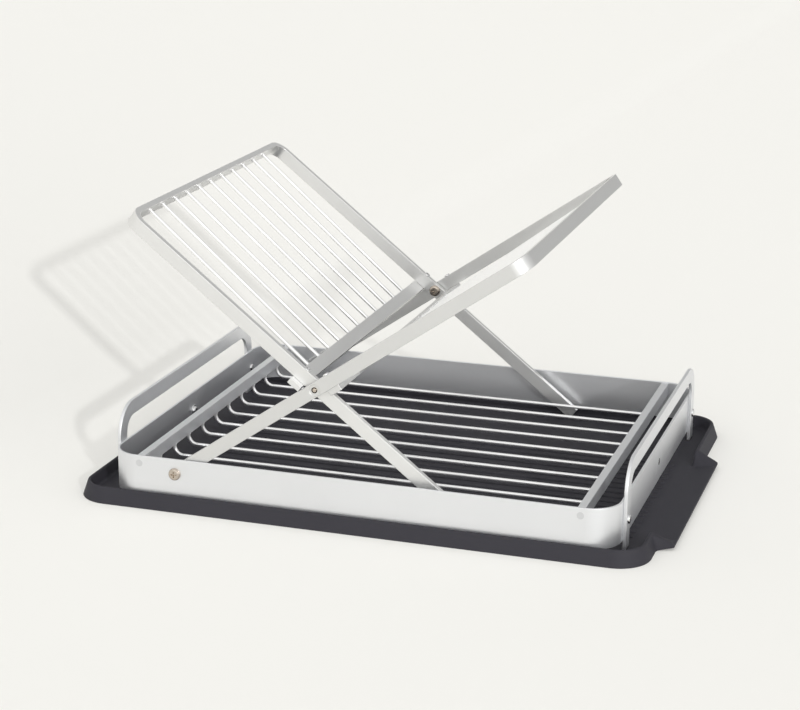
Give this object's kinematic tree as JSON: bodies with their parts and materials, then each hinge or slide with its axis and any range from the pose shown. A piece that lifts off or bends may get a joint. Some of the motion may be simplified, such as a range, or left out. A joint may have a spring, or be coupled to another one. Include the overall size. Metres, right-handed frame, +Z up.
{
  "type": "folding dish drainer",
  "caption": "Metal basket with a wire floor and two crossed, folding plate racks, standing in a plastic drip tray with a spout.",
  "frame": {"origin": "middle of the tray's underside, on the table", "axes": "+X along the length towards the tray's spout, +Y to the back, +Z up; the racks fold about Y"},
  "size_m": [0.5016, 0.361, 0.249],
  "materials": {
    "satin_aluminium": "satin, fine brushed",
    "bright_wire": "bright drawn",
    "screw_steel": "polished heads",
    "tray_plastic": "fine matte"
  },
  "bodies": {
    "tray": {"drip_tray": "tray_plastic"},
    "basket": {"front_band": "satin_aluminium", "rear_band": "satin_aluminium", "band_rivets": "screw_steel", "band_washers": "screw_steel", "left_handle": "satin_aluminium", "right_handle": "satin_aluminium", "handle_rivets": "screw_steel", "left_floor_bar": "satin_aluminium", "right_floor_bar": "satin_aluminium", "floor_wires": "bright_wire", "floor_bar_rivets": "satin_aluminium"},
    "outer_rack": {"outer_rack_frame": "satin_aluminium", "outer_rack_crossbar": "satin_aluminium", "outer_rack_wires": "bright_wire", "outer_crossbar_screws": "screw_steel", "base_pivot_screws": "screw_steel", "base_pivot_washers": "screw_steel", "rack_pivot_screws": "screw_steel", "rack_pivot_washers": "screw_steel"},
    "inner_rack": {"inner_rack_frame": "satin_aluminium", "inner_rack_crossbar": "satin_aluminium", "inner_rack_wires": "bright_wire", "inner_crossbar_screws": "screw_steel"}
  },
  "joints": [
    {"name": "basket_lift", "type": "slide", "parent": "tray", "child": "basket", "axis": [0, 0, 1], "range_m": [0, 0.1]},
    {"name": "outer_rack_fold", "type": "hinge", "parent": "basket", "child": "outer_rack", "pos_m": [-0.15925, 0, 0.0312], "axis": [0, -1, 0], "range_deg": [0, 56]},
    {"name": "inner_rack_fold", "type": "hinge", "parent": "outer_rack", "child": "inner_rack", "pos_m": [-0.03701, 0, 0.11553], "axis": [0, 1, 0], "range_deg": [0, 99.7]}
  ],
  "couplings": [
    {"joint": "inner_rack_fold", "follows": "outer_rack_fold", "ratio": 1.78}
  ]
}
